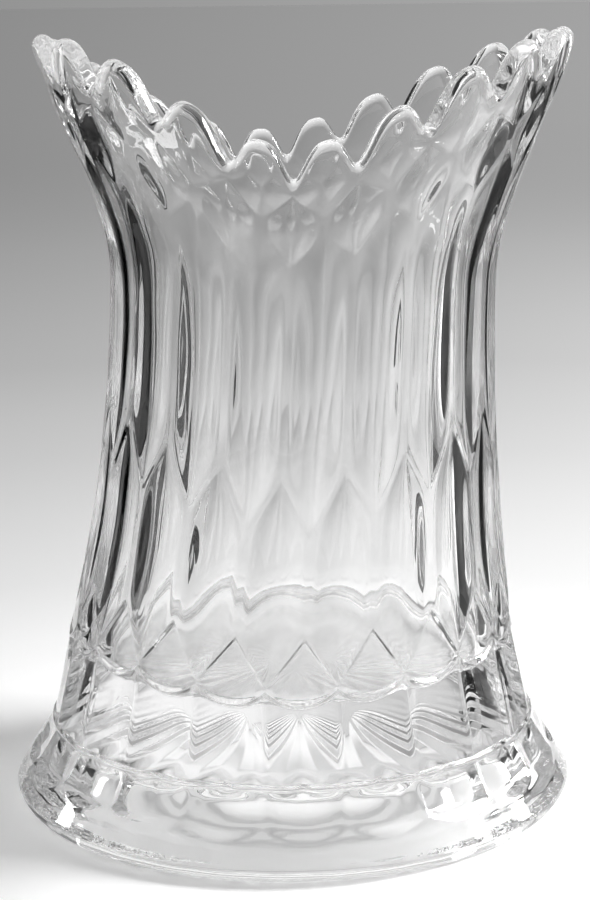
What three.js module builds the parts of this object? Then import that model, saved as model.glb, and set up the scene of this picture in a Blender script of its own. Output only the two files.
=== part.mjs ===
// Swung vase of clear pressed glass. A thick flared foot carries a hollow body whose honeycomb cells
// were drawn out when the hot glass was swung, up to a scalloped rim that rises into two wings.
// Millimetres, +Z up. The origin is on the table at the centre of the foot, and the wings lie along X.
// Angles are counted from the front (-Y) towards +X.
import * as THREE from "three";

// Cells around the vase, and the mesh steps across one cell
const COLUMNS = 21;
const STEPS_PER_COLUMN = 4;
const FIRST_COLUMN_DEG = 2.3;

// Foot
const FOOT_RADIUS = 60;
const FOOT_EDGE_ROUNDING = 4;
const FOOT_HEIGHT = 17.7;
const BEARING_WIDTH = 4;
const STAR_RECESS = 15;
const STAR_STEP = 5;
const STAR_HUB_RADIUS = 6;
const STAR_RAY_DEPTH = 0.6;
const PETAL_DEPTH = 2.2;
const PETAL_START = 8.7;

// Ridge line where the foot meets the body
const RIDGE_RADIUS = 51.6;
const RIDGE_BEAD = 0.35;

// Rows of cells, as lengths at the front, one above the other from the ridge line up
const ARCH_SIDE = 15;
const ARCH_POINT = 3.4;
const DIAMOND_POINT = 9.8;
const MIDDLE_SIDE = 19.6;
const MIDDLE_POINT = 12;
const UPPER_SIDE = 39.4;
const UPPER_POINT = 6.5;
const COLLAR_SIDE = 3;
const COLLAR_POINT = 5;
const RIM_BAND = 3;
const SCALLOP_RISE = 6.5;
const SCALLOP_ROUNDNESS = 1.5;
const ARCH_DEPTH = 2;
const CELL_DEPTH = 0.9;
const CELL_END = 6;

// Drawn-out outline: the waist, the wings at the sides, the dips at the front and back
const WAIST_RADIUS = 40.3;
const WAIST_ABOVE_FOOT = 94;
const WING_RADIUS = 56;
const DIP_RADIUS = 42.5;
const DIP_ROUNDNESS = 1.5;
const FLARE_STRAIGHTENING = 1.3;
const SWING_STRETCH = 0.17;
const FRONT_DIP_DEG = -3;
const BACK_DIP_DEG = 14;
const BACK_DROP = 1.6;
const LEAN = 4.3;
const TWIST_DEG = 3;

// Wall and floor of the hollow
const WALL_AT_FLOOR = 5.4;
const WALL_AT_RIM = 4.2;
const FLOOR_THICKNESS = 12.3;
const FLOOR_DISH = 3;
const FLOOR_SQUARENESS = 4;

// Mesh rows
const SIDE_STEP = 9;
const BEAD_STEPS = 5;
const FLOOR_STEPS = 8;
const EDGE_STEPS = 3;
const RECESS_STEPS = 3;
const PETAL_STEPS = 3;
const SAME_LENGTH = 1e-6;

// Front heights of the zigzags between the rows of cells. Each zigzag runs between a height on the
// columns of the arches' shoulders (even) and a height half a column away, on the arches' points (odd).
const ARCH_SHOULDER = FOOT_HEIGHT + ARCH_SIDE;
const ARCH_TOP = ARCH_SHOULDER + ARCH_POINT;
const DIAMOND_TOP = ARCH_TOP + DIAMOND_POINT;
const MIDDLE_SHOULDER = DIAMOND_TOP + MIDDLE_SIDE;
const MIDDLE_TOP = MIDDLE_SHOULDER + MIDDLE_POINT;
const UPPER_SHOULDER = MIDDLE_TOP + UPPER_SIDE;
const UPPER_TOP = UPPER_SHOULDER + UPPER_POINT;
const COLLAR_SHOULDER = UPPER_TOP + COLLAR_SIDE;
const COLLAR_TOP = COLLAR_SHOULDER + COLLAR_POINT;
const NOTCH_HEIGHT = COLLAR_TOP + RIM_BAND;
const LOBE_HEIGHT = NOTCH_HEIGHT + SCALLOP_RISE;
const ZIGZAGS = [
  { even: ARCH_SHOULDER, odd: ARCH_TOP, curve: 2 },
  { even: DIAMOND_TOP, odd: ARCH_TOP, curve: 1 },
  { even: MIDDLE_SHOULDER, odd: MIDDLE_TOP, curve: 1 },
  { even: UPPER_TOP, odd: UPPER_SHOULDER, curve: 1 },
  { even: COLLAR_SHOULDER, odd: COLLAR_TOP, curve: 1 },
];

const WAIST_HEIGHT = FOOT_HEIGHT + WAIST_ABOVE_FOOT;
const WING_HEIGHT = FOOT_HEIGHT + (LOBE_HEIGHT - FOOT_HEIGHT) * (1 + SWING_STRETCH);
const FLOOR_HEIGHT = FOOT_HEIGHT + FLOOR_THICKNESS;
const HOLLOW_START = FLOOR_HEIGHT + FLOOR_DISH;
const STEPS = COLUMNS * STEPS_PER_COLUMN;

// 0 on an even column, 1 on an odd one half a column away, and straight between them.
function columnShare(step) {
  const across = step / STEPS_PER_COLUMN;
  return 2 * Math.abs(across - Math.round(across));
}

function angleAt(step, height) {
  const drawn = Math.max(0, height - ARCH_TOP) / (LOBE_HEIGHT - ARCH_TOP);
  const degrees = FIRST_COLUMN_DEG + (360 * step) / STEPS + TWIST_DEG * drawn;
  return THREE.MathUtils.degToRad(degrees);
}

// 1 at the front dip, -1 at the back one and 0 at the wings. The dips aren't quite opposite each other.
function dipShare(angle) {
  const backness = (1 - Math.cos(angle)) / 2;
  const dip = THREE.MathUtils.lerp(FRONT_DIP_DEG, BACK_DIP_DEG, backness);
  return Math.cos(angle - THREE.MathUtils.degToRad(dip));
}

// A height at the front is stretched upwards towards the wings, and the back hangs lower than the front.
function swungHeight(height, angle) {
  const dip = dipShare(angle);
  const kept = dip > 0 ? dip ** 4 : dip ** 2;
  const drop = dip > 0 ? 0 : (BACK_DROP * dip ** 2) / (LOBE_HEIGHT - FOOT_HEIGHT);
  return FOOT_HEIGHT + (height - FOOT_HEIGHT) * (1 + SWING_STRETCH * (1 - kept) - drop);
}

// Radius of the outline at the sides, from the ridge line in to the waist and out to the wing tips.
function sideRadius(z) {
  if (z < WAIST_HEIGHT) {
    const below = (WAIST_HEIGHT - z) / WAIST_ABOVE_FOOT;
    return WAIST_RADIUS + (RIDGE_RADIUS - WAIST_RADIUS) * below ** 2;
  }
  const above = (z - WAIST_HEIGHT) / (WING_HEIGHT - WAIST_HEIGHT);
  const flare = above ** 2 * (1 + FLARE_STRAIGHTENING - FLARE_STRAIGHTENING * above);
  return WAIST_RADIUS + (WING_RADIUS - WAIST_RADIUS) * flare;
}

// The front and back flare less than the sides, so the mouth is oval.
function outlineRadius(height, angle) {
  const above = Math.max(0, height - WAIST_HEIGHT) / (LOBE_HEIGHT - WAIST_HEIGHT);
  const held = (sideRadius(LOBE_HEIGHT) - DIP_RADIUS) * above ** DIP_ROUNDNESS;
  return sideRadius(swungHeight(height, angle)) - held * Math.abs(dipShare(angle)) ** DIP_ROUNDNESS;
}

function leanAt(z) {
  const drawn = Math.max(0, z - ARCH_TOP) / (WING_HEIGHT - ARCH_TOP);
  return LEAN * (1 - (1 - drawn) ** 2);
}

function wallAt(height) {
  const up = (height - FLOOR_HEIGHT) / (LOBE_HEIGHT - FLOOR_HEIGHT);
  return THREE.MathUtils.lerp(WALL_AT_FLOOR, WALL_AT_RIM, up);
}

function onBody(radius, angle, z) {
  return new THREE.Vector3(leanAt(z) + radius * Math.sin(angle), -radius * Math.cos(angle), z);
}

function zigzagHeight(zigzag, share) {
  return THREE.MathUtils.lerp(zigzag.even, zigzag.odd, share ** zigzag.curve);
}

function rimHeight(share) {
  return NOTCH_HEIGHT + SCALLOP_RISE * (1 - THREE.MathUtils.smoothstep(share ** SCALLOP_ROUNDNESS, 0, 1));
}

function easeOut(x) {
  const limited = THREE.MathUtils.clamp(x, 0, 1);
  return limited * (2 - limited);
}

// Depth of the hollow pressed in each cell: none on the ridges between cells, most along its middle.
// The arches and the diamonds are on the even columns, and the rows above them change column in turn.
function cellDepth(share, height) {
  const edges = [FOOT_HEIGHT, ...ZIGZAGS.map((z) => zigzagHeight(z, share)), rimHeight(share) - WALL_AT_RIM];
  const above = edges.findIndex((edge) => edge > height + SAME_LENGTH);
  if (above < 1) return 0;
  const fromEnd = Math.min(height - edges[above - 1], edges[above] - height);
  const aside = above === 1 || above % 2 === 0 ? share : 1 - share;
  const depth = above === 1 ? ARCH_DEPTH : CELL_DEPTH;
  return depth * (1 - aside ** 2) * easeOut(fromEnd / CELL_END);
}

// Front heights of the mesh rows of the outside: both ends and the middle of each zigzag, and steps
// along the straight sides between them.
function outsideHeights() {
  const heights = [FOOT_HEIGHT];
  for (const { even, odd } of ZIGZAGS) {
    const low = Math.min(even, odd);
    const high = Math.max(even, odd);
    const start = heights[heights.length - 1];
    const count = Math.max(1, Math.round((low - start) / SIDE_STEP));
    for (let i = 1; i < count; i++) heights.push(start + ((low - start) * i) / count);
    if (low > start) heights.push(low);
    heights.push((low + high) / 2, high);
  }
  return heights;
}

function ring(makePoint) {
  return Array.from({ length: STEPS }, (_, step) => makePoint(step));
}

function pole(z) {
  const point = new THREE.Vector3(0, 0, z);
  return ring(() => point);
}

// A closed surface through rings of points, from a pole on the axis, round the outside, to a pole.
// Each four-sided patch is split along the diagonal that follows a ridge.
function closedSurface(rings) {
  const positions = [];
  const triangle = (...points) => points.forEach((p) => positions.push(p.x, p.y, p.z));
  for (let i = 0; i + 1 < rings.length; i++) {
    for (let j = 0; j < STEPS; j++) {
      const k = (j + 1) % STEPS;
      const [a, b, c, d] = [rings[i][j], rings[i][k], rings[i + 1][k], rings[i + 1][j]];
      if (a === b) {
        triangle(a, c, d);
      } else if (c === d) {
        triangle(a, b, c);
      } else if (ridgeRunsAlong(a, c, b, d)) {
        triangle(a, b, c);
        triangle(a, c, d);
      } else {
        triangle(a, b, d);
        triangle(b, c, d);
      }
    }
  }
  return new THREE.BufferGeometry().setAttribute("position", new THREE.Float32BufferAttribute(positions, 3));
}

// The diagonal whose middle stands further from the axis lies on the ridge.
function ridgeRunsAlong(a, c, b, d) {
  const first = Math.hypot(a.x + c.x, a.y + c.y);
  const second = Math.hypot(b.x + d.x, b.y + d.y);
  return first > second + SAME_LENGTH;
}

function footGeometry() {
  const edgeMiddle = FOOT_RADIUS - FOOT_EDGE_ROUNDING;
  const bearingInner = edgeMiddle - BEARING_WIDTH;
  const starRadius = bearingInner - STAR_STEP;
  const flareEnd = FOOT_HEIGHT - 2 * RIDGE_BEAD;
  const flareRadius = (z) => THREE.MathUtils.mapLinear(z, FOOT_EDGE_ROUNDING, flareEnd, FOOT_RADIUS, RIDGE_RADIUS);
  const footRing = (radiusAt, heightAt) =>
    ring((step) => {
      const angle = angleAt(step, FOOT_HEIGHT);
      const radius = radiusAt(step);
      return new THREE.Vector3(radius * Math.sin(angle), -radius * Math.cos(angle), heightAt(step));
    });
  const flat = (radius, z) => footRing(() => radius, () => z);
  const rayed = (radius, depth) => footRing(() => radius, (step) => STAR_RECESS + (step % 2 === 0 ? depth : 0));
  // The flared top is pressed in under each arch, and the petals stand out between.
  const petals = (z, depth) => footRing((step) => flareRadius(z) - depth * (1 - columnShare(step) ** 2), () => z);
  const rings = [pole(STAR_RECESS), flat(STAR_HUB_RADIUS, STAR_RECESS)];
  rings.push(rayed((STAR_HUB_RADIUS + starRadius) / 2, STAR_RAY_DEPTH / 2), rayed(starRadius, STAR_RAY_DEPTH));
  for (let i = 1; i <= RECESS_STEPS; i++) {
    const turn = ((Math.PI / 2) * i) / RECESS_STEPS;
    const z = i < RECESS_STEPS ? STAR_RECESS * Math.cos(turn) : 0;
    rings.push(flat(starRadius + STAR_STEP * Math.sin(turn), z));
  }
  rings.push(flat(edgeMiddle, 0));
  for (let i = 1; i <= EDGE_STEPS; i++) {
    const turn = ((Math.PI / 2) * i) / EDGE_STEPS;
    const radius = edgeMiddle + FOOT_EDGE_ROUNDING * Math.sin(turn);
    rings.push(flat(radius, FOOT_EDGE_ROUNDING * (1 - Math.cos(turn))));
  }
  for (let i = 0; i <= PETAL_STEPS; i++) {
    const up = i / PETAL_STEPS;
    rings.push(petals(THREE.MathUtils.lerp(PETAL_START, flareEnd, up), PETAL_DEPTH * up));
  }
  rings.push(flat(RIDGE_RADIUS + RIDGE_BEAD, FOOT_HEIGHT - RIDGE_BEAD));
  rings.push(flat(RIDGE_RADIUS, FOOT_HEIGHT), pole(FOOT_HEIGHT));
  return closedSurface(rings);
}

function bodyGeometry() {
  const rings = [pole(FOOT_HEIGHT)];
  const outside = (heightAt) =>
    ring((step) => {
      const share = columnShare(step);
      const height = heightAt(share);
      const angle = angleAt(step, height);
      return onBody(outlineRadius(height, angle) - cellDepth(share, height), angle, swungHeight(height, angle));
    });
  for (const height of outsideHeights()) rings.push(outside(() => height));
  // Round bead over the rim, from the outer face of the wall to the inner one
  const beadRadius = WALL_AT_RIM / 2;
  for (let i = 0; i <= BEAD_STEPS; i++) {
    const turn = (Math.PI * i) / BEAD_STEPS;
    rings.push(
      ring((step) => {
        const height = rimHeight(columnShare(step)) - beadRadius;
        const angle = angleAt(step, height);
        const radius = outlineRadius(height, angle) - beadRadius + beadRadius * Math.cos(turn);
        return onBody(radius, angle, swungHeight(height, angle) + beadRadius * Math.sin(turn));
      }),
    );
  }
  const insideRadius = (height, angle) => outlineRadius(height, angle) - wallAt(height);
  const insideRows = Math.round((COLLAR_TOP - HOLLOW_START) / SIDE_STEP);
  for (let i = 0; i <= insideRows; i++) {
    const height = THREE.MathUtils.lerp(COLLAR_SHOULDER, HOLLOW_START, i / insideRows);
    rings.push(
      ring((step) => {
        const angle = angleAt(step, height);
        return onBody(insideRadius(height, angle), angle, swungHeight(height, angle));
      }),
    );
  }
  // Flat dish at the floor of the hollow, with a rounded corner to the wall
  for (let i = 1; i < FLOOR_STEPS; i++) {
    const turn = (Math.PI / 2) * (i / FLOOR_STEPS);
    const across = Math.cos(turn) ** (2 / FLOOR_SQUARENESS);
    const down = Math.sin(turn) ** (2 / FLOOR_SQUARENESS);
    rings.push(
      ring((step) => {
        const angle = angleAt(step, HOLLOW_START);
        const top = swungHeight(HOLLOW_START, angle);
        const z = THREE.MathUtils.lerp(top, FLOOR_HEIGHT, down);
        return onBody(insideRadius(HOLLOW_START, angle) * across, angle, z);
      }),
    );
  }
  rings.push(pole(FLOOR_HEIGHT));
  return closedSurface(rings);
}

const glass = { color: 0xf2f5f4, roughness: 0.04, metalness: 0, transparent: true, opacity: 0.35 };

const foot = new THREE.Mesh(footGeometry(), new THREE.MeshStandardMaterial(glass));
foot.name = "foot";

const body = new THREE.Mesh(bodyGeometry(), new THREE.MeshStandardMaterial(glass));
body.name = "body";

const vase = new THREE.Group();
vase.add(foot, body);

export default vase;
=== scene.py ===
"""Looks of a clear pressed-glass swung vase: one piece of glass around its CAD frame, and a plain stage."""

import math
from typing import NamedTuple

import bmesh
import bpy
import numpy as np
from bpy.props import FloatProperty, IntProperty, PointerProperty, StringProperty
from bpy.types import NodeSocket, Operator, Panel, PropertyGroup
from mathutils import Matrix, Vector


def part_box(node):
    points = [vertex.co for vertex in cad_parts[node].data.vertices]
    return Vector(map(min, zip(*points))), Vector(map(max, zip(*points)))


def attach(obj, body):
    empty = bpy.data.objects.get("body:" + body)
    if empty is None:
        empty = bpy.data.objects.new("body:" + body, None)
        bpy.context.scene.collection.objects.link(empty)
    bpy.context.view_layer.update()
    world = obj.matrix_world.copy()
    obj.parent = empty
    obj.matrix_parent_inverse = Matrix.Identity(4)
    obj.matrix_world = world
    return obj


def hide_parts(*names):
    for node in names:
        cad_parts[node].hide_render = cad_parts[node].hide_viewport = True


bl_info = {
    "name": "Swung vase",
    "version": (1, 0, 0),
    "blender": (4, 5, 0),
    "location": "View3D > Sidebar > Swung vase",
    "description": "Builds a clear pressed-glass swung vase on its CAD frame, and its stage",
    "category": "Add Mesh",
}

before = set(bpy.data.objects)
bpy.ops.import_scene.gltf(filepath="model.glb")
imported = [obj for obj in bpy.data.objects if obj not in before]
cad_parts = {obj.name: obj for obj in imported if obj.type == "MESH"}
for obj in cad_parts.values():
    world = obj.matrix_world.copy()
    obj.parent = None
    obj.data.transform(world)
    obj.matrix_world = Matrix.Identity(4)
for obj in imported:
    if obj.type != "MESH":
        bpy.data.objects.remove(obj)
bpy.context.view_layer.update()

MM = 0.001
FOOT_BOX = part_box("foot")

# Parts of the profile that is spun into the blank, from the middle of the underside round to the floor
STAR, RECESS, BEARING, EDGE, FLARE, BEAD, WALL, RIM, HOLLOW, FLOOR = range(10)

# Mesh rows of those parts; the wall's are in CELL_ROWS
STAR_ROWS = 4
RECESS_ROWS = 8
BEARING_ROWS = 3
EDGE_ROWS = 10
FLARE_ROWS = 20
BEAD_ROWS = 5
RIM_ROWS = 12
HOLLOW_ROWS = 20
FLOOR_ROWS = 14

# Height of one row of cells in the blank, and how far its mesh rows crowd to both ends
BLANK_BAND = 20 * MM
CROWDING = 0.6
# Vertices closer than this are one
SAME_PLACE = 0.001 * MM

# Foot: the star's rays and the teeth of the recess, the petals with the crease below them, and the nubs of the
# ridge line. The petals close from a share of their height, and a nub's width is a share of half a column.
STAR_RAYS = 30
TOOTH_DEPTH = 0.7 * MM
FLUTE_END = 1.2 * MM
PETAL_CLOSING = 0.85
CLOSING_START = 6 / 11
CREASE_HEIGHT = 0.3 * MM
CREASE_WIDTH = 0.5 * MM
NUB_HEIGHT = 0.8 * MM
NUB_WIDTH = 0.12


class CellRow(NamedTuple):
    """One row of cells round the wall. Powers shape the scoop, and bars are left flat between the cells."""

    mesh_rows: int
    on_ridge: bool
    depth: float
    side_power: float
    end_power: float
    side_bar: float
    end_bar: float


# Arches, diamonds, middle cells, upper cells, collar cells and the cells under the lobes of the rim
CELL_ROWS = (
    CellRow(24, True, 2.0 * MM, 1, 0, 0, 0),
    CellRow(22, True, 0.6 * MM, 1, 0, 0, 0),
    CellRow(36, False, 1.25 * MM, 1, 0.9, 0.2, 1.2 * MM),
    CellRow(34, True, 1.15 * MM, 1, 1, 0.2, 1.2 * MM),
    CellRow(12, False, 0.7 * MM, 1.3, 1.2, 0.2, 0.6 * MM),
    CellRow(12, True, 0.3 * MM, 1.8, 1.2, 0, 0),
)
ARCH_ROW = 0
UPPER_ROW = 3
# Arches and diamonds are flat facets with a bevel round them and a thin rib on their edges
FACET_ROWS = 2
FACET_BEVEL = 1.0 * MM
RIB_HEIGHT = 0.05 * MM
RIB_WIDTH = 0.4 * MM
# The arches deepen from their foot to their point, as shares of their depth
ARCH_TILT = (0.25, 1.35)
# The upper cells are deepest below their middle; the gain brings that place to their full depth
UPPER_SKEW = 1.4
UPPER_GAIN = 5.1

# Facets, petals and rays are soft at the back, where a sharp pattern would show through the front.
# The cosine of the angle from the front says where that starts and over what range.
BACK_CRISPNESS = 0.1
CRISP_START = -0.3
CRISP_RANGE = 0.8

# How the raised sides fall to the dips of the rim
FRONT_DIP_POWER = 4
BACK_DIP_POWER = 2

# Inside, the scallops settle to a level ring within a share of the depth, a little above the collar's shoulders
SETTLED = 0.25
SETTLED_RISE = 6 * MM

# Unevenness as strength, waves round the vase, phase per metre of height and phase
WAVE_DEPTH = 0.03 * MM
WAVE_START = 10 * MM
WAVES = ((1, 5, 310, 0.4), (1, 11, -190, 1.9), (0.6, 23, 420, 3.1))
STREAK_DEPTH = 0.006 * MM
STREAK_FADE = 1 / 6
STREAKS = ((1, 37, 21, 0.7), (1, 53, -34, 2.2), (1, 67, 13, 4.4))

# Chips of the worn ring, as levels of their noise: their relief, the painted shade round them and their frosted
# middles
WEAR_FULL = 0.2
CHIP_LEVELS = (0.4, 0.6)
PAINTED_SHADE_LEVELS = (0.52, 0.56)
FROST_LEVELS = (0.56, 0.66)
# The dark flecks round the chips are painted shade
PAINTED_SHADE_TONE = 0.01
FROST_TONE = 0.9
CHIP_DETAIL = 3.0
CHIP_ROUGHNESS = 0.6

# Camera, in metres and degrees
VIEW_DISTANCE = 0.4447
VIEW_HEIGHT = 0.1683
VIEW_PITCH = 78.0
VIEW_ROLL = -0.807
LENS = 56.95
SENSOR = 24
LENS_SHIFT = 0.0073
BOUNCES = 32

# Tones of the paper by its nearness to the vase, which is 1 in the middle under it and 0 far behind. These
# tones are painted light: the bright middle under the vase is a painted pool of light, the bright and dark
# rings next to the vase are painted light and shade that stand for the light that the glass gathers on the
# paper, and the fall to grey far behind is painted falloff of the light.
PAPER_PAINTED_LIGHT = (
    (0.0, 0.575), (0.15, 0.605), (0.3, 0.59), (0.44, 0.51), (0.55, 0.545), (0.7, 0.66), (0.85, 0.88),
    (0.881, 1.12), (0.925, 1.06), (0.935, 0.6), (0.943, 1.08), (0.951, 0.6), (0.959, 1.1), (0.974, 1.35),
)
# How far in front of the vase's middle the painted light on the paper is centred
PAPER_FORWARD = 12 * MM
# Strength of the paper's glow: painted light, on top of the lamps' light on it
PAPER_PAINTED_GLOW = 0.25
PAPER_RADIUS = 40
PAPER_SIDES = 96
PAPER_BELOW = 0.02 * MM
# Nearness over which the side light painted on the paper fades out
SIDE_FADE = (0.2, 0.5)
# Slope of the side light towards +X: painted on the paper, and light itself in the surroundings
SIDE_LIGHT = 1.1
SIDE_REACH = 0.15

# Tones of the surroundings from the horizon up, and their levels on the camera's side, behind and on the paper
SKY = ((0.0, 0.315), (0.1, 0.35), (0.2, 0.54), (0.3, 0.72), (0.6, 0.88), (1.0, 0.88))
SKY_TURN = (-0.3, 0.2)
SKY_FRONT = 0.3
SKY_BACK = 1.1
SKY_ON_PAPER = 0.3


class Card(NamedTuple):
    """An upright card beside the vase, in metres, with its tone."""

    name: str
    x: float
    front: float
    back: float
    height: float
    tone: float


class Softbox(NamedTuple):
    """A rectangular light, in metres and watts."""

    name: str
    place: tuple
    width: float
    height: float
    power: float


CARDS = (
    Card("card_left", -0.105, -0.01, 0.19, 0.13, 0.0),
    Card("card_right", 0.11, 0, 0.145, 0.15, 0.015),
)
SOFTBOXES = (
    Softbox("softbox_right", (0.8, 0.05, 0.55), 0.45, 0.3, 13.3),
    Softbox("window_right", (0.76, 0.19, 0.2), 0.1, 0.16, 1.4),
    Softbox("window_left", (-0.76, 0.19, 0.2), 0.1, 0.16, 0.8),
)
LIT_PLACE = (0, 0, 0.05)


def length(label, about, millimetres):
    """A length property in metres, given in millimetres."""
    metres = millimetres * MM
    return FloatProperty(name=label, description=about, default=metres, min=0, unit="LENGTH", precision=5)


def number(label, about, value):
    """A plain number property."""
    return FloatProperty(name=label, description=about, default=value, precision=4)


def degrees(label, about, value):
    """An angle property, given in degrees."""
    return FloatProperty(name=label, description=about, default=math.radians(value), subtype="ANGLE")


class VaseSizes(PropertyGroup):
    """Sizes of the glass. Heights of the cells are those at the front, before the sides are swung up."""

    columns: IntProperty(name="Columns", description="Cells in one row round the vase", default=21, min=3)
    steps: IntProperty(name="Steps", description="Mesh steps across one column", default=20, min=4)
    first_column: degrees("First column", "Angle of the first ridge from the front", 2.3)

    foot_radius: length("Foot radius", "Widest radius of the foot", FOOT_BOX[1][1] / MM)
    foot_height: length("Foot height", "Height of the ridge line", FOOT_BOX[1][2] / MM)
    foot_rounding: length("Foot rounding", "Radius of the foot's outer edge", 4)
    bearing_width: length("Bearing width", "Width of the ring that the vase stands on", 4)
    star_recess: length("Star recess", "Height of the underside inside the bearing ring", 15)
    star_step: length("Star step", "Width of the slope from the bearing ring up to the star", 5)
    star_depth: length("Star depth", "Depth of the rays at the star's edge", 0.5)
    petal_depth: length("Petal depth", "Depth of the flutes between the petals of the foot", 1.8)
    petal_start: length("Petal start", "Height where the flutes start", 8.7)
    petal_scallop: length("Petal scallop", "How much higher the flutes start between petals", 1.5)
    ridge_radius: length("Ridge radius", "Radius of the ridge line", 51.6)
    ridge_bead: length("Ridge bead", "How far the ridge line stands out", 0.35)

    arch_shoulder: length("Arch shoulder", "Height of the arches' shoulders", 32.7)
    arch_top: length("Arch top", "Height of the arches' points", 36.1)
    diamond_top: length("Diamond top", "Height of the diamonds' upper points", 45.9)
    middle_shoulder: length("Middle shoulder", "Height of the middle cells' shoulders", 65.5)
    middle_top: length("Middle top", "Height of the middle cells' points", 77.5)
    upper_shoulder: length("Upper shoulder", "Height of the upper cells' shoulders", 116.9)
    upper_top: length("Upper top", "Height of the upper cells' points", 123.4)
    collar_shoulder: length("Collar shoulder", "Height of the collar cells' shoulders", 126.4)
    collar_top: length("Collar top", "Height of the collar cells' points", 131.4)
    notch: length("Notch", "Height of the notches of the rim at the front", 134.4)
    scallop: length("Scallop", "Rise of the rim's lobes above its notches", 6.5)
    scallop_roundness: number("Scallop roundness", "Power of the lobes' outline", 1.5)
    bar: length("Bar", "Width of glass where four cells meet", 0.8)

    waist_radius: length("Waist radius", "Narrowest radius of the body", 40.3)
    waist_height: length("Waist height", "Height of the narrowest place", 111.7)
    wing_radius: length("Wing radius", "Radius at the two wings of the rim", 56)
    dip_radius: length("Dip radius", "Radius at the front and back of the rim", 42.5)
    dip_roundness: number("Dip roundness", "Power of the oval of the mouth", 1.5)
    flare_straightening: number("Flare straightening", "How soon the flare under the wings runs straight", 1.3)
    swing: number("Swing", "How far the sides are swung up beyond the front", 0.17)
    front_dip: degrees("Front dip", "Turn of the rim's front dip from the front", -3)
    back_dip: degrees("Back dip", "Turn of the rim's back dip from the back", 14)
    back_drop: length("Back drop", "How much lower the back of the rim is than the front", 1.6)
    lean: length("Lean", "Sideways lean at the wings", 4.3)
    twist: degrees("Twist", "Turn of the rim against the arches", 3)

    wall_at_floor: length("Wall at floor", "Thickness of the wall at the floor of the hollow", 5.4)
    wall_at_rim: length("Wall at rim", "Thickness of the rim's round bead", 4.2)
    floor_thickness: length("Floor thickness", "Glass between the ridge line and the floor of the hollow", 12.3)
    floor_dish: length("Floor dish", "Depth of the floor's dish below the wall", 3)
    floor_squareness: number("Floor squareness", "Power of the dish, 2 for a plain ellipse", 4)


class VaseLooks(PropertyGroup):
    """Look of the glass."""

    foot_tint: StringProperty(name="Foot tint", description="sRGB colour of the thick glass", default="fbfbfb")
    wall_tint: StringProperty(name="Wall tint", description="sRGB colour of the thin glass", default="fcfcfc")
    thick_top: length("Thick top", "Height up to which the glass has the tint of the foot", 17)
    thin_start: length("Thin start", "Height from which the glass has the tint of the wall", 32)
    ior: number("IOR", "Refractive index of soda-lime glass", 1.51)
    wear_height: length("Wear height", "Height of the scuffed edge of the foot", 0.9)
    wear_size: length("Wear size", "Size of the chips in the scuffed edge", 1.6)
    wear_depth: length("Wear depth", "Depth of the chips in the scuffed edge", 0.5)
    wear_radius: length("Wear radius", "Radius where the chips are round; further out they are long", 20)
    haze: number("Haze", "Roughness of the floor of the hollow", 0.2)
    haze_radius: length("Haze radius", "Radius that the haze stays within", 46)
    haze_bottom: length("Haze bottom", "Height that the haze stays above", 25)
    haze_fade: length("Haze fade", "Height where the haze starts to fade", 32)
    haze_top: length("Haze top", "Height where the haze ends", 37)


def linear(code):
    """An sRGB hex colour as linear red, green, blue and alpha."""
    shares = [int(code[i:i + 2], 16) / 255 for i in (0, 2, 4)]
    return [c / 12.92 if c <= 0.04045 else ((c + 0.055) / 1.055) ** 2.4 for c in shares] + [1]


def lerp(a, b, t):
    """The place between a and b at share t."""
    return a + (b - a) * t


def smooth(x):
    """0 to 1 with soft ends."""
    limited = np.clip(x, 0, 1)
    return limited * limited * (3 - 2 * limited)


def bell(x, width):
    """A soft ridge, 1 at 0."""
    return np.exp(-((x / width) ** 2))


def waves(parts, angle, z):
    """A sum of sine waves round the vase and up it."""
    return sum(strength * np.sin(around * angle + up * z + phase) for strength, around, up, phase in parts)


def crowded_steps(count):
    """Places from 0 to 1, closer together near both ends."""
    return [lerp(i / count, (1 - math.cos(math.pi * i / count)) / 2, CROWDING) for i in range(count + 1)]


def of_rows(name, rows):
    """One value of the rows of cells, for an array of row numbers."""
    return np.array([getattr(row, name) for row in CELL_ROWS])[rows]


def spin_blank(stops, steps):
    """Spins stops round the upright axis. A stop is its part, its place along that part, radius and z."""
    bm = bmesh.new()
    part = bm.verts.layers.int.new("part")
    along = bm.verts.layers.float.new("along")
    chain = []
    for stop_part, stop_along, radius, z in stops:
        vertex = bm.verts.new((0, -radius, z))
        vertex[part] = stop_part
        vertex[along] = stop_along
        chain.append(vertex)
    edges = [bm.edges.new(pair) for pair in zip(chain, chain[1:])]
    bmesh.ops.spin(
        bm, geom=chain + edges, cent=(0, 0, 0), axis=(0, 0, 1), angle=math.tau, steps=steps, use_merge=True
    )
    bmesh.ops.remove_doubles(bm, verts=bm.verts[:], dist=SAME_PLACE)
    bmesh.ops.recalc_face_normals(bm, faces=bm.faces[:])
    return bm


class Blank(NamedTuple):
    """Vertices of the blank: their part, place along it, turn, share of half a column, radius and z."""

    part: np.ndarray
    along: np.ndarray
    turn: np.ndarray
    column: np.ndarray
    radius: np.ndarray
    z: np.ndarray


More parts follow.
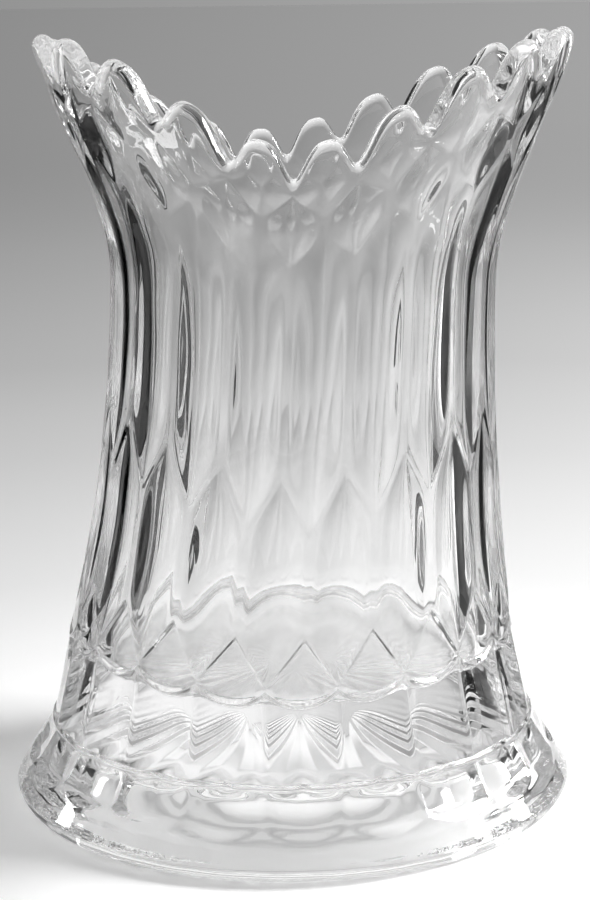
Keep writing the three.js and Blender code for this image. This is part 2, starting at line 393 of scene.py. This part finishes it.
class Glass:
    """Shape of the glass, as places for the vertices of the blank."""

    def __init__(self, sizes):
        self.s = s = sizes
        self.lobe = s.notch + s.scallop
        self.wing = s.foot_height + (self.lobe - s.foot_height) * (1 + s.swing)
        self.floor = s.foot_height + s.floor_thickness
        self.hollow = self.floor + s.floor_dish
        self.edge_middle = s.foot_radius - s.foot_rounding
        self.bearing_inner = self.edge_middle - s.bearing_width
        self.star_radius = self.bearing_inner - s.star_step
        self.bead = s.wall_at_rim / 2
        # Edges between the rows: height on a ridge, height between two ridges and power of the line between
        self.zigzags = (
            (s.arch_shoulder, s.arch_top - s.bar / 2, 2),
            (s.diamond_top, s.arch_top + s.bar / 2, 1),
            (s.middle_shoulder, s.middle_top, 1),
            (s.upper_top, s.upper_shoulder, 1),
            (s.collar_shoulder, s.collar_top, 1),
        )

    def stops(self):
        """The profile of the blank from the middle of the underside, round the outside, to the floor."""
        s = self.s
        stops = [(STAR, 0, self.star_radius * i / STAR_ROWS, s.star_recess) for i in range(STAR_ROWS + 1)]
        for i in range(1, RECESS_ROWS):
            angle = math.pi / 2 * i / RECESS_ROWS
            radius = lerp(self.star_radius, self.bearing_inner, math.sin(angle))
            stops.append((RECESS, 0, radius, s.star_recess * math.cos(angle)))
        for i in range(BEARING_ROWS + 1):
            stops.append((BEARING, 0, lerp(self.bearing_inner, self.edge_middle, i / BEARING_ROWS), 0))
        for i in range(1, EDGE_ROWS + 1):
            angle = math.pi / 2 * i / EDGE_ROWS
            radius = self.edge_middle + s.foot_rounding * math.sin(angle)
            stops.append((EDGE, 0, radius, s.foot_rounding * (1 - math.cos(angle))))
        flare_end = s.foot_height - 2 * s.ridge_bead
        for i in range(1, FLARE_ROWS + 1):
            up = i / FLARE_ROWS
            radius = lerp(s.foot_radius, s.ridge_radius, up)
            stops.append((FLARE, 0, radius, lerp(s.foot_rounding, flare_end, up)))
        for i in range(1, BEAD_ROWS):
            angle = math.pi * i / BEAD_ROWS
            radius = s.ridge_radius + s.ridge_bead * math.sin(angle)
            stops.append((BEAD, 0, radius, s.foot_height - s.ridge_bead * (1 + math.cos(angle))))
        for row, cells in enumerate(CELL_ROWS):
            for up in crowded_steps(cells.mesh_rows)[:-1]:
                stops.append((WALL, row + up, s.waist_radius, s.foot_height + (row + up) * BLANK_BAND))
        top = stops[-1][3]
        for i in range(RIM_ROWS + 1):
            angle = math.pi * i / RIM_ROWS
            radius = s.waist_radius - self.bead * (1 - math.cos(angle))
            stops.append((RIM, angle, radius, top + self.bead * (1 + math.sin(angle))))
        inner = s.waist_radius - s.wall_at_rim
        for i in range(1, HOLLOW_ROWS + 1):
            down = i / HOLLOW_ROWS
            stops.append((HOLLOW, down, inner, lerp(top, self.hollow, down)))
        for i in range(1, FLOOR_ROWS + 1):
            angle = math.pi / 2 * i / FLOOR_ROWS
            radius = 0 if i == FLOOR_ROWS else inner * math.cos(angle)
            stops.append((FLOOR, angle, radius, lerp(self.hollow, self.floor, math.sin(angle))))
        return stops

    def angle(self, turn, height):
        """Angle from the front, with the twist that swinging gave the upper part."""
        s = self.s
        drawn = np.maximum(0, height - s.arch_top) / (self.lobe - s.arch_top)
        return s.first_column + math.tau * turn + s.twist * drawn

    def dip(self, angle):
        """1 at the front dip, -1 at the back one and 0 at the wings."""
        turned = lerp(self.s.front_dip, self.s.back_dip, (1 - np.cos(angle)) / 2)
        return np.cos(angle - turned)

    def swung(self, height, angle):
        """Height after the sides are swung up into wings."""
        s = self.s
        dip = self.dip(angle)
        kept = np.where(dip > 0, dip ** FRONT_DIP_POWER, dip ** BACK_DIP_POWER)
        drop = s.back_drop / (self.lobe - s.foot_height) * np.where(dip > 0, 0, dip ** 2)
        return s.foot_height + (height - s.foot_height) * (1 + s.swing * (1 - kept) - drop)

    def side_radius(self, z):
        """Radius of the body's outline at the wings."""
        s = self.s
        below = np.maximum(0, s.waist_height - z) / (s.waist_height - s.foot_height)
        above = np.maximum(0, z - s.waist_height) / (self.wing - s.waist_height)
        flare = above ** 2 * (1 + s.flare_straightening - s.flare_straightening * above)
        skirt = (s.ridge_radius - s.waist_radius) * below ** 2
        return s.waist_radius + skirt + (s.wing_radius - s.waist_radius) * flare

    def outline(self, height, angle):
        """Radius of the body's outline, held in at the dips of the rim."""
        s = self.s
        above = np.maximum(0, height - s.waist_height) / (self.lobe - s.waist_height)
        held = (self.side_radius(self.lobe) - s.dip_radius) * above ** s.dip_roundness
        return self.side_radius(self.swung(height, angle)) - held * np.abs(self.dip(angle)) ** s.dip_roundness

    def lean(self, z):
        """How far the vase has leant sideways at a height."""
        drawn = np.maximum(0, z - self.s.arch_top) / (self.wing - self.s.arch_top)
        return self.s.lean * (1 - (1 - drawn) ** 2)

    def wall(self, height):
        """Thickness of the wall."""
        s = self.s
        return lerp(s.wall_at_floor, s.wall_at_rim, (height - self.floor) / (self.lobe - self.floor))

    def rim_height(self, column):
        """Front height of the scalloped rim."""
        return self.s.notch + self.s.scallop * (1 - smooth(column ** self.s.scallop_roundness))

    def row_edges(self, column):
        """Front heights of the edges of the rows of cells, from the ridge line to the rim."""
        between = [lerp(even, odd, column ** power) for even, odd, power in self.zigzags]
        bottom = np.full_like(column, self.s.foot_height)
        return np.array([bottom, *between, self.rim_height(column) - self.bead])

    def on_body(self, radius, angle, z):
        """Places on the leaning body."""
        return np.column_stack((self.lean(z) + radius * np.sin(angle), -radius * np.cos(angle), z))

    def crispness(self, angle):
        """1 at the front, falling to BACK_CRISPNESS at the back."""
        return lerp(BACK_CRISPNESS, 1, smooth((np.cos(angle) - CRISP_START) / CRISP_RANGE))

    def foot_places(self, blank):
        """Places of the underside, the rounded edge, the petals and the ridge line."""
        s = self.s
        angle = self.angle(blank.turn, s.foot_height)
        crisp = self.crispness(angle)
        ray = blank.turn * STAR_RAYS
        ray_share = crisp * (1 - 2 * np.abs(ray - np.round(ray)))
        crease = s.petal_start + s.petal_scallop * blank.column ** 2
        above = blank.z - crease
        up = above / (s.foot_height - crease)
        closed = 1 - PETAL_CLOSING * smooth((up - CLOSING_START) / (1 - CLOSING_START))
        flute = s.petal_depth * smooth(above / FLUTE_END) * closed * (1 - blank.column ** 2)
        petal = crisp * (flute - CREASE_HEIGHT * bell(above, CREASE_WIDTH))
        tooth = TOOTH_DEPTH * ray_share * blank.z / s.star_recess
        rise = s.star_depth * ray_share * blank.radius / self.star_radius
        nub = NUB_HEIGHT * bell(blank.column, NUB_WIDTH)
        pressed = np.where(blank.part == FLARE, petal, 0) + np.where(blank.part == RECESS, tooth, 0)
        raised = np.where(blank.part == STAR, rise, 0) + np.where(blank.part == BEAD, nub, 0)
        radius = blank.radius - pressed
        return np.column_stack((radius * np.sin(angle), -radius * np.cos(angle), blank.z + raised))

    def wall_places(self, blank):
        """Places of the cells on the outside of the body."""
        row = np.minimum(blank.along.astype(int), len(CELL_ROWS) - 1)
        along_row = blank.along - row
        edges = self.row_edges(blank.column)
        each = np.arange(len(row))
        low = edges[row, each]
        high = edges[row + 1, each]
        height = lerp(low, high, along_row)
        angle = self.angle(blank.turn, height)
        crisp = self.crispness(angle)

        aside = np.where(of_rows("on_ridge", row), blank.column, 1 - blank.column)
        aside = np.minimum(1, aside / (1 - of_rows("side_bar", row)))
        end_bar = of_rows("end_bar", row)
        up = np.clip((height - low - end_bar) / (high - low - 2 * end_bar), 0, 1)
        skewed = UPPER_GAIN * up * (1 - up) ** UPPER_SKEW
        lengthwise = np.where(row == UPPER_ROW, skewed, 1 - (2 * up - 1) ** 2)
        scoop = (1 - aside ** 2) ** of_rows("side_power", row) * lengthwise ** of_rows("end_power", row)

        from_end = np.where(row == ARCH_ROW, high - height, np.minimum(height - low, high - height))
        facet = np.where(row < FACET_ROWS, smooth(from_end / FACET_BEVEL) * crisp, 1)
        tilt = np.where(row == ARCH_ROW, lerp(*ARCH_TILT, along_row), 1)
        depth = of_rows("depth", row) * scoop * facet * tilt
        for edge in edges[1:FACET_ROWS + 1]:
            depth = depth - RIB_HEIGHT * crisp * bell(height - edge, RIB_WIDTH)
        uneven = WAVE_DEPTH * waves(WAVES, angle, height)
        depth = depth - uneven * smooth((height - self.s.foot_height) / WAVE_START)
        return self.on_body(self.outline(height, angle) - depth, angle, self.swung(height, angle))

    def rim_places(self, blank):
        """Places of the round bead of the rim."""
        height = self.rim_height(blank.column) - self.bead
        angle = self.angle(blank.turn, height)
        radius = self.outline(height, angle) - self.bead * (1 - np.cos(blank.along))
        return self.on_body(radius, angle, self.swung(height, angle) + self.bead * np.sin(blank.along))

    def hollow_places(self, blank):
        """Places of the inside of the wall, with the faint upright streaks that swinging leaves."""
        s = self.s
        settled = np.clip(blank.along / SETTLED, 0, 1)
        top = lerp(self.rim_height(blank.column) - self.bead, s.collar_shoulder + SETTLED_RISE, settled)
        height = lerp(top, self.hollow, blank.along)
        angle = self.angle(blank.turn, height)
        streaks = STREAK_DEPTH * waves(STREAKS, angle, height) * smooth((1 - blank.along) / STREAK_FADE)
        wall = lerp(s.wall_at_rim, self.wall(height), settled) + streaks * settled
        return self.on_body(self.outline(height, angle) - wall, angle, self.swung(height, angle))

    def floor_places(self, blank):
        """Places of the dished floor of the hollow."""
        angle = self.angle(blank.turn, self.hollow)
        power = 2 / self.s.floor_squareness
        across = np.where(blank.radius > 0, np.abs(np.cos(blank.along)) ** power, 0)
        z = lerp(self.swung(self.hollow, angle), self.floor, np.sin(blank.along) ** power)
        inside = self.outline(self.hollow, angle) - self.wall(self.hollow)
        return self.on_body(inside * across, angle, z)

    def places(self, part, along, vertices):
        """Where the vertices of the blank go."""
        x, y, z = vertices.T
        radius = np.hypot(x, y)
        radius = np.where(radius < SAME_PLACE, 0, radius)
        turn = (np.arctan2(x, -y) / math.tau) % 1
        across = turn * self.s.columns
        column = 2 * np.abs(across - np.round(across))
        blank = Blank(part, along, turn, column, radius, z)
        result = np.empty_like(vertices)
        sections = (
            (part <= BEAD, self.foot_places),
            (part == WALL, self.wall_places),
            (part == RIM, self.rim_places),
            (part == HOLLOW, self.hollow_places),
            (part == FLOOR, self.floor_places),
        )
        for chosen, shape in sections:
            result[chosen] = shape(Blank(*(values[chosen] for values in blank)))
        if not np.isfinite(result).all():
            raise ValueError("These sizes of the vase give no shape")
        return result


def empty_tree(owner):
    """Gives a material or the world an empty node tree."""
    owner.use_nodes = True
    owner.node_tree.nodes.clear()
    return owner.node_tree


def node(tree, kind, inputs=None, stops=(), **settings):
    """Adds a node with its settings, its inputs as values or links, and its grey stops. Gives its outputs."""
    made = tree.nodes.new(kind)
    for name, value in settings.items():
        setattr(made, name, value)
    for name, value in (inputs or {}).items():
        if isinstance(value, NodeSocket):
            tree.links.new(value, made.inputs[name])
        else:
            made.inputs[name].default_value = value
    if stops:
        elements = made.color_ramp.elements
        while len(elements) < len(stops):
            elements.new(0.5)
        for element, (place, tone) in zip(elements, stops):
            element.position = place
            element.color = (tone, tone, tone, 1)
    return made.outputs


def clear_glass(looks):
    """Clear soda-lime glass, pressed and fire-polished: bright, hard reflections and no colour of its own, but
    for painted shade round the chips of its worn ring.
    """
    material = bpy.data.materials.new("clear_glass")
    tree = empty_tree(material)
    place = node(tree, "ShaderNodeTexCoord")["Object"]
    split = node(tree, "ShaderNodeSeparateXYZ", {"Vector": place})

    # Thick glass takes a little of the light, so the foot looks a shade darker than the wall
    thin = node(tree, "ShaderNodeMapRange", {
        "Value": split["Z"], "From Min": looks.thick_top, "From Max": looks.thin_start,
    }, interpolation_type="SMOOTHSTEP")
    tint = node(tree, "ShaderNodeMix", {
        0: thin[0], 6: linear(looks.foot_tint), 7: linear(looks.wall_tint),
    }, data_type="RGBA")

    # The ring that the vase stands on is chipped and scratched by use, and glitters through the edge
    worn = node(tree, "ShaderNodeMapRange", {
        "Value": split["Z"], "From Min": looks.wear_height * WEAR_FULL, "From Max": looks.wear_height,
        "To Min": 1, "To Max": 0,
    }, interpolation_type="SMOOTHSTEP")
    front = node(tree, "ShaderNodeMath", {0: split["Y"], 1: -1}, operation="MULTIPLY")
    angle = node(tree, "ShaderNodeMath", {0: split["X"], 1: front[0]}, operation="ARCTAN2")
    way_round = node(tree, "ShaderNodeMath", {0: angle[0], 1: looks.wear_radius}, operation="MULTIPLY")
    way_out = node(tree, "ShaderNodeVectorMath", {0: place}, operation="LENGTH")
    unrolled = node(tree, "ShaderNodeCombineXYZ", {0: way_round[0], 1: way_out["Value"], 2: split["Z"]})
    chips = node(tree, "ShaderNodeTexNoise", {
        "Vector": unrolled[0], "Scale": 1 / looks.wear_size, "Detail": CHIP_DETAIL, "Roughness": CHIP_ROUGHNESS,
    })["Fac"]
    broken = node(tree, "ShaderNodeMapRange", {
        "Value": chips, "From Min": CHIP_LEVELS[0], "From Max": CHIP_LEVELS[1],
    }, interpolation_type="SMOOTHSTEP")
    relief = node(tree, "ShaderNodeMath", {0: broken[0], 1: worn[0]}, operation="MULTIPLY")
    bump = node(tree, "ShaderNodeBump", {"Strength": 1, "Distance": looks.wear_depth, "Height": relief[0]})

    # The chips are frosted, with dark flecks round them: painted shade in the colour of the glass
    painted_shade_mask = node(tree, "ShaderNodeMapRange", {
        "Value": chips, "From Min": PAINTED_SHADE_LEVELS[0], "From Max": PAINTED_SHADE_LEVELS[1],
    }, interpolation_type="SMOOTHSTEP")
    shade_and_frost_mask = node(tree, "ShaderNodeMath", {0: painted_shade_mask[0], 1: worn[0]}, operation="MULTIPLY")
    shade_to_frost = node(tree, "ShaderNodeMapRange", {
        "Value": chips, "From Min": FROST_LEVELS[0], "From Max": FROST_LEVELS[1],
        "To Min": PAINTED_SHADE_TONE, "To Max": FROST_TONE,
    })
    colour = node(tree, "ShaderNodeMix", {0: shade_and_frost_mask[0], 6: tint[2], 7: shade_to_frost[0]}, data_type="RGBA")

    # A faint haze on the floor of the hollow softens what is seen through it
    flat = node(tree, "ShaderNodeVectorMath", {0: place, 1: (1, 1, 0)}, operation="MULTIPLY")
    from_axis = node(tree, "ShaderNodeVectorMath", {0: flat[0]}, operation="LENGTH")
    inside = node(tree, "ShaderNodeMath", {0: from_axis["Value"], 1: looks.haze_radius}, operation="LESS_THAN")
    over = node(tree, "ShaderNodeMath", {0: split["Z"], 1: looks.haze_bottom}, operation="GREATER_THAN")
    under = node(tree, "ShaderNodeMapRange", {
        "Value": split["Z"], "From Min": looks.haze_fade, "From Max": looks.haze_top, "To Min": 1, "To Max": 0,
    }, interpolation_type="SMOOTHSTEP")
    level = node(tree, "ShaderNodeMath", {0: under[0], 1: over[0]}, operation="MULTIPLY")
    floor = node(tree, "ShaderNodeMath", {0: level[0], 1: inside[0]}, operation="MULTIPLY")
    haze = node(tree, "ShaderNodeMath", {0: floor[0], 1: looks.haze}, operation="MULTIPLY")

    surface = node(tree, "ShaderNodeBsdfPrincipled", {
        "Base Color": colour[2], "Roughness": haze[0], "IOR": looks.ior, "Transmission Weight": 1,
        "Normal": bump[0],
    })
    node(tree, "ShaderNodeOutputMaterial", {"Surface": surface[0]})
    return material


class VASE_OT_glass(Operator):
    """Spins, presses and swings the vase from one piece of glass"""

    bl_idname = "swung_vase.glass"
    bl_label = "Glass"

    def execute(self, context):
        sizes = context.scene.vase_sizes
        glass = Glass(sizes)
        bm = spin_blank(glass.stops(), sizes.columns * sizes.steps)
        mesh = bpy.data.meshes.new("vase_glass")
        bm.to_mesh(mesh)
        bm.free()
        count = len(mesh.vertices)
        part = np.empty(count, dtype=np.int32)
        along = np.empty(count, dtype=np.float32)
        vertices = np.empty(count * 3, dtype=np.float32)
        mesh.attributes["part"].data.foreach_get("value", part)
        mesh.attributes["along"].data.foreach_get("value", along)
        mesh.vertices.foreach_get("co", vertices)
        places = glass.places(part, along.astype(float), vertices.reshape(-1, 3).astype(float))
        mesh.vertices.foreach_set("co", places.astype(np.float32).ravel())
        for name in ("part", "along"):
            mesh.attributes.remove(mesh.attributes[name])
        mesh.polygons.foreach_set("use_smooth", np.ones(len(mesh.polygons), dtype=bool))
        mesh.update()
        mesh.materials.append(clear_glass(context.scene.vase_looks))
        piece = add_object(context, "vase_glass", mesh)
        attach(piece, "root")
        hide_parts("foot", "body")
        return {"FINISHED"}


def add_object(context, name, data):
    """Adds an object with its data to the scene."""
    made = bpy.data.objects.new(name, data)
    context.collection.objects.link(made)
    return made


def side_lit(tree, sideways, tones):
    """Tones that grow towards +X by the side light, by a sideways slope: painted into the paper's tones, and
    part of the light itself in the surroundings.
    """
    lit = node(tree, "ShaderNodeMapRange", {
        "Value": sideways, "From Min": -SIDE_REACH, "From Max": SIDE_REACH,
        "To Min": 1 - SIDE_LIGHT * SIDE_REACH, "To Max": 1 + SIDE_LIGHT * SIDE_REACH,
    })
    return node(tree, "ShaderNodeVectorMath", {0: tones, "Scale": lit[0]}, operation="SCALE")[0]


def paper_material():
    """Matt paper: a flat, even surface with no shine, whose tones are painted light: white around the vase with
    a painted pool and rings of light and shade, grey far behind it as painted falloff, lighter towards +X as
    painted side light, and with a painted glow of its own.
    """
    material = bpy.data.materials.new("paper")
    tree = empty_tree(material)
    place = node(tree, "ShaderNodeTexCoord")["Object"]
    split = node(tree, "ShaderNodeSeparateXYZ", {"Vector": place})
    shifted = node(tree, "ShaderNodeVectorMath", {0: place, 1: (0, PAPER_FORWARD, 0)}, operation="ADD")
    away = node(tree, "ShaderNodeVectorMath", {0: shifted[0]}, operation="LENGTH")
    from_camera = node(tree, "ShaderNodeMath", {0: away["Value"], 1: VIEW_DISTANCE}, operation="ADD")
    nearness = node(tree, "ShaderNodeMath", {0: VIEW_DISTANCE, 1: from_camera[0]}, operation="DIVIDE")
    # Painted light: the paper's tones by nearness to the vase, with its pool and rings next to the vase and its
    # falloff to grey far behind
    tones = node(tree, "ShaderNodeValToRGB", {"Fac": nearness[0]}, stops=PAPER_PAINTED_LIGHT)
    sideways = node(tree, "ShaderNodeMath", {0: split["X"], 1: from_camera[0]}, operation="DIVIDE")
    farness = node(tree, "ShaderNodeMapRange", {
        "Value": nearness[0], "From Min": SIDE_FADE[0], "From Max": SIDE_FADE[1], "To Min": 1, "To Max": 0,
    })
    faded = node(tree, "ShaderNodeMath", {0: sideways[0], 1: farness[0]}, operation="MULTIPLY")
    # Painted side light: the paper's tones grow towards +X, fading out far behind
    lit = side_lit(tree, faded[0], tones[0])
    # The paper glows with its tones as painted light, on top of the lamps' light on its matt side
    glow = node(tree, "ShaderNodeEmission", {"Color": lit, "Strength": PAPER_PAINTED_GLOW})
    matt = node(tree, "ShaderNodeBsdfDiffuse", {"Color": lit})
    both = node(tree, "ShaderNodeAddShader", {0: glow[0], 1: matt[0]})
    node(tree, "ShaderNodeOutputMaterial", {"Surface": both[0]})
    return material


def add_floor(context):
    """Lays the paper under the vase."""
    bm = bmesh.new()
    bmesh.ops.create_circle(bm, cap_ends=True, segments=PAPER_SIDES, radius=PAPER_RADIUS)
    mesh = bpy.data.meshes.new("floor")
    bm.to_mesh(mesh)
    bm.free()
    mesh.materials.append(paper_material())
    floor = add_object(context, "floor", mesh)
    floor.location.z = -PAPER_BELOW


def add_card(context, card):
    """Stands a dark flag beside the vase, which only the glass sees."""
    bm = bmesh.new()
    bmesh.ops.create_grid(bm, x_segments=1, y_segments=1, size=0.5)
    for vertex in bm.verts:
        back = lerp(card.front, card.back, vertex.co.x + 0.5)
        vertex.co = (card.x, back, card.height * (vertex.co.y + 0.5))
    mesh = bpy.data.meshes.new(card.name)
    bm.to_mesh(mesh)
    bm.free()
    # Black card: no shine, and next to no light of its own
    material = bpy.data.materials.new("black_card")
    tree = empty_tree(material)
    glow = node(tree, "ShaderNodeEmission", {"Strength": card.tone})
    node(tree, "ShaderNodeOutputMaterial", {"Surface": glow[0]})
    mesh.materials.append(material)
    made = add_object(context, card.name, mesh)
    made.visible_camera = False
    made.visible_diffuse = False
    made.visible_shadow = False


def add_softbox(context, softbox):
    """Hangs a rectangular light that looks at the lower part of the vase."""
    light = bpy.data.lights.new(softbox.name, "AREA")
    light.shape = "RECTANGLE"
    light.size = softbox.width
    light.size_y = softbox.height
    light.energy = softbox.power
    made = add_object(context, softbox.name, light)
    turned = (Vector(LIT_PLACE) - Vector(softbox.place)).to_track_quat("-Z", "Y")
    made.matrix_world = Matrix.Translation(softbox.place) @ turned.to_matrix().to_4x4()


def set_world(scene):
    """Surroundings that are dim at the horizon and bright above, and dimmer on the camera's side."""
    world = bpy.data.worlds.new("studio")
    tree = empty_tree(world)
    way = node(tree, "ShaderNodeTexCoord")["Generated"]
    split = node(tree, "ShaderNodeSeparateXYZ", {"Vector": way})
    tones = node(tree, "ShaderNodeValToRGB", {"Fac": split["Z"]}, stops=SKY)
    path = node(tree, "ShaderNodeLightPath")
    strength = node(tree, "ShaderNodeMapRange", {
        "Value": path["Is Diffuse Ray"], "To Min": 1, "To Max": SKY_ON_PAPER,
    })
    front = node(tree, "ShaderNodeMapRange", {
        "Value": split["Y"], "From Min": SKY_TURN[0], "From Max": SKY_TURN[1],
        "To Min": SKY_FRONT, "To Max": SKY_BACK,
    })
    level = node(tree, "ShaderNodeMath", {0: strength[0], 1: front[0]}, operation="MULTIPLY")
    lit = side_lit(tree, split["X"], tones[0])
    background = node(tree, "ShaderNodeBackground", {"Color": lit, "Strength": level[0]})
    node(tree, "ShaderNodeOutputWorld", {"Surface": background[0]})
    scene.world = world


def add_camera(context):
    """Looks at the front of the vase from a little above its rim."""
    data = bpy.data.cameras.new("camera")
    data.sensor_fit = "VERTICAL"
    data.sensor_height = SENSOR
    data.lens = LENS
    data.shift_x = LENS_SHIFT
    camera = add_object(context, "camera", data)
    pitch = Matrix.Rotation(math.radians(VIEW_PITCH), 4, "X")
    roll = Matrix.Rotation(math.radians(VIEW_ROLL), 4, "Z")
    camera.matrix_world = Matrix.Translation((0, -VIEW_DISTANCE, VIEW_HEIGHT)) @ pitch @ roll
    context.scene.camera = camera


class VASE_OT_stage(Operator):
    """Sets the floor, the surroundings, the lights and the camera"""

    bl_idname = "swung_vase.stage"
    bl_label = "Stage"

    def execute(self, context):
        add_floor(context)
        for card in CARDS:
            add_card(context, card)
        for softbox in SOFTBOXES:
            add_softbox(context, softbox)
        set_world(context.scene)
        add_camera(context)
        context.scene.view_settings.view_transform = "Standard"
        # Light is reflected many times inside thick glass, and turns black where the bounces end
        context.scene.cycles.max_bounces = BOUNCES
        context.scene.cycles.glossy_bounces = BOUNCES
        context.scene.cycles.transmission_bounces = BOUNCES
        return {"FINISHED"}


class VASE_PT_panel(Panel):
    """Operators and settings of the vase"""

    bl_label = "Swung vase"
    bl_idname = "VASE_PT_panel"
    bl_space_type = "VIEW_3D"
    bl_region_type = "UI"
    bl_category = "Swung vase"

    def draw(self, context):
        layout = self.layout
        for operator in (VASE_OT_glass, VASE_OT_stage):
            layout.operator(operator.bl_idname)
        for settings in (context.scene.vase_sizes, context.scene.vase_looks):
            column = layout.column(align=True)
            for name in type(settings).__annotations__:
                column.prop(settings, name)


CLASSES = (VaseSizes, VaseLooks, VASE_OT_glass, VASE_OT_stage, VASE_PT_panel)


def register():
    for cls in CLASSES:
        bpy.utils.register_class(cls)
    bpy.types.Scene.vase_sizes = PointerProperty(type=VaseSizes)
    bpy.types.Scene.vase_looks = PointerProperty(type=VaseLooks)


def unregister():
    del bpy.types.Scene.vase_looks
    del bpy.types.Scene.vase_sizes
    for cls in reversed(CLASSES):
        bpy.utils.unregister_class(cls)


def main():
    register()
    bpy.ops.swung_vase.glass()
    bpy.ops.swung_vase.stage()


if __name__ == "__main__":
    main()
